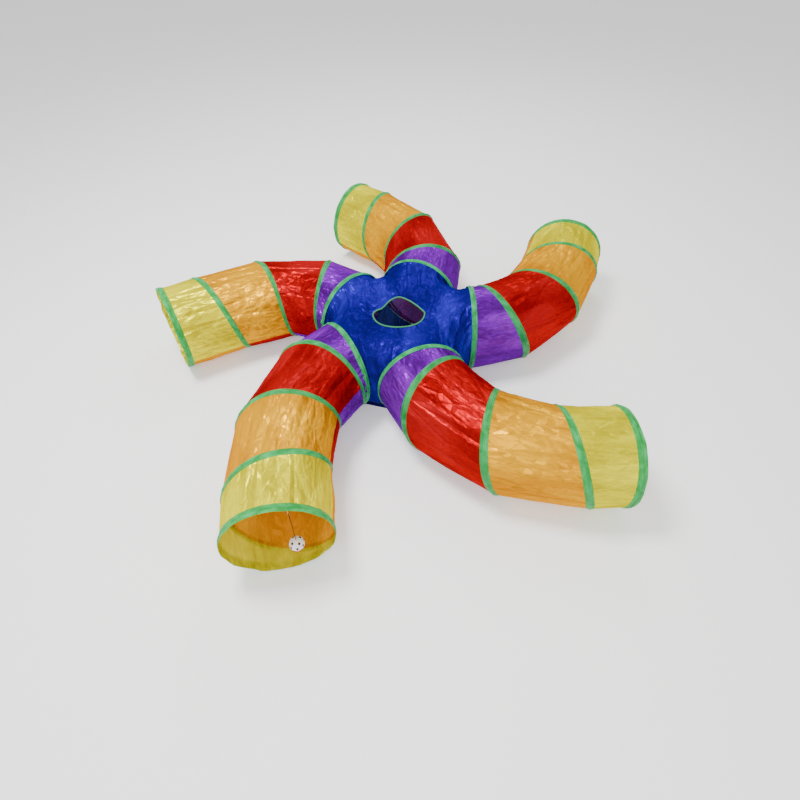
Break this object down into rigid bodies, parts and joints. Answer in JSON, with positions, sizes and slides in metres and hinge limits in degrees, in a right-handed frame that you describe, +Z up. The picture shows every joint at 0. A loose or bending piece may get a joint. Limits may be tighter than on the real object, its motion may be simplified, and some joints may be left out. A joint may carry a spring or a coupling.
{
  "type": "five-way agility tunnel",
  "caption": "Fabric play tunnel for small pets: curved spring-coil arms in four colours round a blue hub with a peephole, and a bell ball in one mouth.",
  "frame": {"origin": "on the floor, in the middle between the five hub hoops", "axes": "+Z up, -Y towards the side that the ball's arm opens to, +X to that side's right"},
  "size_m": [1.4613, 1.5122, 0.2532],
  "materials": {
    "blue_polyester": "satin woven polyester",
    "purple_polyester": "satin woven polyester",
    "red_polyester": "satin woven polyester",
    "orange_polyester": "satin woven polyester",
    "yellow_polyester": "satin woven polyester",
    "green_binding_tape": "ribbed woven tape",
    "piping": "narrow bound edge",
    "spring_wire": "drawn spring steel",
    "steel_ring": "polished",
    "toy_cord": "twisted elastic cord",
    "ball_white": "moulded",
    "ball_pink": "moulded",
    "bell_metal": "stamped"
  },
  "bodies": {
    "root": {"hub_base": "blue_polyester", "hub_canopy": "blue_polyester", "hub_hoops": "spring_wire", "hub_tapes": "green_binding_tape", "peephole_piping": "piping", "front_left_arm_purple_panel": "purple_polyester", "front_left_arm_coil_1": "spring_wire", "front_right_arm_purple_panel": "purple_polyester", "front_right_arm_coil_1": "spring_wire", "back_right_arm_purple_panel": "purple_polyester", "back_right_arm_coil_1": "spring_wire", "back_left_arm_purple_panel": "purple_polyester", "back_left_arm_coil_1": "spring_wire", "left_arm_purple_panel": "purple_polyester", "left_arm_coil_1": "spring_wire"},
    "front_left_arm_red_part": {"front_left_arm_red_panel": "red_polyester", "front_left_arm_coil_2": "spring_wire"},
    "front_left_arm_orange_part": {"front_left_arm_orange_panel": "orange_polyester", "front_left_arm_coil_3": "spring_wire"},
    "front_left_arm_yellow_part": {"front_left_arm_yellow_panel": "yellow_polyester", "front_left_arm_coil_4": "spring_wire"},
    "front_left_arm_mouth": {"front_left_arm_mouth_hoop": "spring_wire", "front_left_arm_mouth_tape": "green_binding_tape"},
    "front_right_arm_red_part": {"front_right_arm_red_panel": "red_polyester", "front_right_arm_coil_2": "spring_wire"},
    "front_right_arm_orange_part": {"front_right_arm_orange_panel": "orange_polyester", "front_right_arm_coil_3": "spring_wire"},
    "front_right_arm_yellow_part": {"front_right_arm_yellow_panel": "yellow_polyester", "front_right_arm_coil_4": "spring_wire"},
    "front_right_arm_mouth": {"front_right_arm_mouth_hoop": "spring_wire", "front_right_arm_mouth_tape": "green_binding_tape"},
    "back_right_arm_red_part": {"back_right_arm_red_panel": "red_polyester", "back_right_arm_coil_2": "spring_wire"},
    "back_right_arm_orange_part": {"back_right_arm_orange_panel": "orange_polyester", "back_right_arm_coil_3": "spring_wire"},
    "back_right_arm_yellow_part": {"back_right_arm_yellow_panel": "yellow_polyester", "back_right_arm_coil_4": "spring_wire"},
    "back_right_arm_mouth": {"back_right_arm_mouth_hoop": "spring_wire", "back_right_arm_mouth_tape": "green_binding_tape"},
    "back_left_arm_red_part": {"back_left_arm_red_panel": "red_polyester", "back_left_arm_coil_2": "spring_wire"},
    "back_left_arm_orange_part": {"back_left_arm_orange_panel": "orange_polyester", "back_left_arm_coil_3": "spring_wire"},
    "back_left_arm_yellow_part": {"back_left_arm_yellow_panel": "yellow_polyester", "back_left_arm_coil_4": "spring_wire"},
    "back_left_arm_mouth": {"back_left_arm_mouth_hoop": "spring_wire", "back_left_arm_mouth_tape": "green_binding_tape"},
    "left_arm_red_part": {"left_arm_red_panel": "red_polyester", "left_arm_coil_2": "spring_wire"},
    "left_arm_orange_part": {"left_arm_orange_panel": "orange_polyester", "left_arm_coil_3": "spring_wire"},
    "left_arm_yellow_part": {"left_arm_yellow_panel": "yellow_polyester", "left_arm_coil_4": "spring_wire"},
    "left_arm_mouth": {"left_arm_mouth_hoop": "spring_wire", "left_arm_mouth_tape": "green_binding_tape"},
    "toy_ring": {"toy_ring": "steel_ring"},
    "toy_ball": {"toy_cord": "toy_cord", "toy_ball_upper": "ball_white", "toy_ball_lower": "ball_pink", "toy_bell": "bell_metal"}
  },
  "joints": [
    {"name": "front_left_arm_purple_collapse", "type": "hinge", "parent": "root", "child": "front_left_arm_red_part", "pos_m": [-0.00827, -0.3574, 0], "axis": [0, 0, 1], "range_deg": [-23.49, 0], "stiffness_Nm_per_rad": 8, "deforming": ["front_left_arm_purple_panel", "front_left_arm_coil_1"]},
    {"name": "front_left_arm_red_collapse", "type": "hinge", "parent": "front_left_arm_red_part", "child": "front_left_arm_orange_part", "pos_m": [0.07853, -0.40552, 0], "axis": [0, 0, 1], "range_deg": [-24.8, 0], "deforming": ["front_left_arm_red_panel", "front_left_arm_coil_2"]},
    {"name": "front_left_arm_orange_collapse", "type": "hinge", "parent": "front_left_arm_orange_part", "child": "front_left_arm_yellow_part", "pos_m": [1.05246, -0.41402, 0], "axis": [0, 0, 1], "range_deg": [-6.96, 0], "deforming": ["front_left_arm_orange_panel", "front_left_arm_coil_3"]},
    {"name": "front_left_arm_yellow_collapse", "type": "hinge", "parent": "front_left_arm_yellow_part", "child": "front_left_arm_mouth", "pos_m": [1.05246, -0.41402, 0], "axis": [0, 0, 1], "range_deg": [-3.48, 0], "deforming": ["front_left_arm_yellow_panel", "front_left_arm_coil_4"]},
    {"name": "front_right_arm_purple_collapse", "type": "hinge", "parent": "root", "child": "front_right_arm_red_part", "pos_m": [0.43675, -0.06158, 0], "axis": [0, 0, 1], "range_deg": [-16.09, 0], "stiffness_Nm_per_rad": 8, "deforming": ["front_right_arm_purple_panel", "front_right_arm_coil_1"]},
    {"name": "front_right_arm_red_collapse", "type": "hinge", "parent": "front_right_arm_red_part", "child": "front_right_arm_orange_part", "pos_m": [0.3837, -0.10083, 0], "axis": [0, 0, 1], "range_deg": [-27.41, 0], "deforming": ["front_right_arm_red_panel", "front_right_arm_coil_2"]},
    {"name": "front_right_arm_orange_collapse", "type": "hinge", "parent": "front_right_arm_orange_part", "child": "front_right_arm_yellow_part", "pos_m": [0.43523, 0.02671, 0], "axis": [0, 0, 1], "range_deg": [-19.57, 0], "deforming": ["front_right_arm_orange_panel", "front_right_arm_coil_3"]},
    {"name": "front_right_arm_yellow_collapse", "type": "hinge", "parent": "front_right_arm_yellow_part", "child": "front_right_arm_mouth", "pos_m": [0.42762, 0.89929, 0], "axis": [0, 0, 1], "range_deg": [-3.48, 0], "deforming": ["front_right_arm_yellow_panel", "front_right_arm_coil_4"]},
    {"name": "back_right_arm_purple_collapse", "type": "hinge", "parent": "root", "child": "back_right_arm_red_part", "pos_m": [0.18936, 0.30023, 0], "axis": [0, 0, 1], "range_deg": [-24.8, 0], "stiffness_Nm_per_rad": 8, "deforming": ["back_right_arm_purple_panel", "back_right_arm_coil_1"]},
    {"name": "back_right_arm_red_collapse", "type": "hinge", "parent": "back_right_arm_red_part", "child": "back_right_arm_orange_part", "pos_m": [0.12641, 0.4115, 0], "axis": [0, 0, 1], "range_deg": [-23.93, 0], "deforming": ["back_right_arm_red_panel", "back_right_arm_coil_2"]},
    {"name": "back_right_arm_orange_collapse", "type": "hinge", "parent": "back_right_arm_orange_part", "child": "back_right_arm_yellow_part", "pos_m": [-0.24207, 0.65079, 0], "axis": [0, 0, 1], "range_deg": [-11.31, 0], "deforming": ["back_right_arm_orange_panel", "back_right_arm_coil_3"]},
    {"name": "back_right_arm_yellow_collapse", "type": "hinge", "parent": "back_right_arm_yellow_part", "child": "back_right_arm_mouth", "pos_m": [-0.73145, 0.82892, 0], "axis": [0, 0, 1], "range_deg": [-3.48, 0], "deforming": ["back_right_arm_yellow_panel", "back_right_arm_coil_4"]},
    {"name": "back_left_arm_purple_collapse", "type": "hinge", "parent": "root", "child": "back_left_arm_red_part", "pos_m": [-0.29943, 0.33133, 0], "axis": [0, 0, 1], "range_deg": [-17.84, 0], "stiffness_Nm_per_rad": 8, "deforming": ["back_left_arm_purple_panel", "back_left_arm_coil_1"]},
    {"name": "back_left_arm_red_collapse", "type": "hinge", "parent": "back_left_arm_red_part", "child": "back_left_arm_orange_part", "pos_m": [-0.23904, 0.3308, 0], "axis": [0, 0, 1], "range_deg": [-30.45, 0], "deforming": ["back_left_arm_red_panel", "back_left_arm_coil_2"]},
    {"name": "back_left_arm_orange_collapse", "type": "hinge", "parent": "back_left_arm_orange_part", "child": "back_left_arm_yellow_part", "pos_m": [-0.50911, 0.14519, 0], "axis": [0, 0, 1], "range_deg": [-14.79, 0], "deforming": ["back_left_arm_orange_panel", "back_left_arm_coil_3"]},
    {"name": "back_left_arm_yellow_collapse", "type": "hinge", "parent": "back_left_arm_yellow_part", "child": "back_left_arm_mouth", "pos_m": [-0.95537, -0.41583, 0], "axis": [0, 0, 1], "range_deg": [-3.48, 0], "deforming": ["back_left_arm_yellow_panel", "back_left_arm_coil_4"]},
    {"name": "left_arm_purple_collapse", "type": "hinge", "parent": "root", "child": "left_arm_red_part", "pos_m": [-0.34588, -0.08019, 0], "axis": [0, 0, 1], "range_deg": [-24.36, 0], "stiffness_Nm_per_rad": 8, "deforming": ["left_arm_purple_panel", "left_arm_coil_1"]},
    {"name": "left_arm_red_collapse", "type": "hinge", "parent": "left_arm_red_part", "child": "left_arm_orange_part", "pos_m": [-0.34233, -0.06779, 0], "axis": [0, 0, 1], "range_deg": [-36.54, 0], "deforming": ["left_arm_red_panel", "left_arm_coil_2"]},
    {"name": "left_arm_orange_collapse", "type": "hinge", "parent": "left_arm_orange_part", "child": "left_arm_yellow_part", "pos_m": [1.12749, -3.08137, 0], "axis": [0, 0, 1], "range_deg": [-2.61, 0], "deforming": ["left_arm_orange_panel", "left_arm_coil_3"]},
    {"name": "left_arm_yellow_collapse", "type": "hinge", "parent": "left_arm_yellow_part", "child": "left_arm_mouth", "pos_m": [0.68985, -2.29184, 0], "axis": [0, 0, 1], "range_deg": [-1.74, 0], "deforming": ["left_arm_yellow_panel", "left_arm_coil_4"]},
    {"name": "toy_swing_in_and_out", "type": "hinge", "parent": "front_left_arm_mouth", "child": "toy_ring", "pos_m": [-0.23919, -0.67148, 0.2405], "axis": [0.9814, 0.1921, 0], "range_deg": [-50, 50]},
    {"name": "toy_swing_sideways", "type": "hinge", "parent": "toy_ring", "child": "toy_ball", "pos_m": [-0.23919, -0.67148, 0.2305], "axis": [0.1921, -0.9814, 0], "range_deg": [-65, 28]}
  ],
  "couplings": [
    {"joint": "front_left_arm_red_collapse", "follows": "front_left_arm_purple_collapse", "ratio": 1.0556},
    {"joint": "front_left_arm_orange_collapse", "follows": "front_left_arm_purple_collapse", "ratio": 0.2963},
    {"joint": "front_left_arm_yellow_collapse", "follows": "front_left_arm_purple_collapse", "ratio": 0.14815},
    {"joint": "front_right_arm_red_collapse", "follows": "front_right_arm_purple_collapse", "ratio": 1.7027},
    {"joint": "front_right_arm_orange_collapse", "follows": "front_right_arm_purple_collapse", "ratio": 1.2162},
    {"joint": "front_right_arm_yellow_collapse", "follows": "front_right_arm_purple_collapse", "ratio": 0.21622},
    {"joint": "back_right_arm_red_collapse", "follows": "back_right_arm_purple_collapse", "ratio": 0.96491},
    {"joint": "back_right_arm_orange_collapse", "follows": "back_right_arm_purple_collapse", "ratio": 0.45614},
    {"joint": "back_right_arm_yellow_collapse", "follows": "back_right_arm_purple_collapse", "ratio": 0.14035},
    {"joint": "back_left_arm_red_collapse", "follows": "back_left_arm_purple_collapse", "ratio": 1.7073},
    {"joint": "back_left_arm_orange_collapse", "follows": "back_left_arm_purple_collapse", "ratio": 0.82927},
    {"joint": "back_left_arm_yellow_collapse", "follows": "back_left_arm_purple_collapse", "ratio": 0.19512},
    {"joint": "left_arm_red_collapse", "follows": "left_arm_purple_collapse", "ratio": 1.5},
    {"joint": "left_arm_orange_collapse", "follows": "left_arm_purple_collapse", "ratio": 0.10714},
    {"joint": "left_arm_yellow_collapse", "follows": "left_arm_purple_collapse", "ratio": 0.071429}
  ]
}
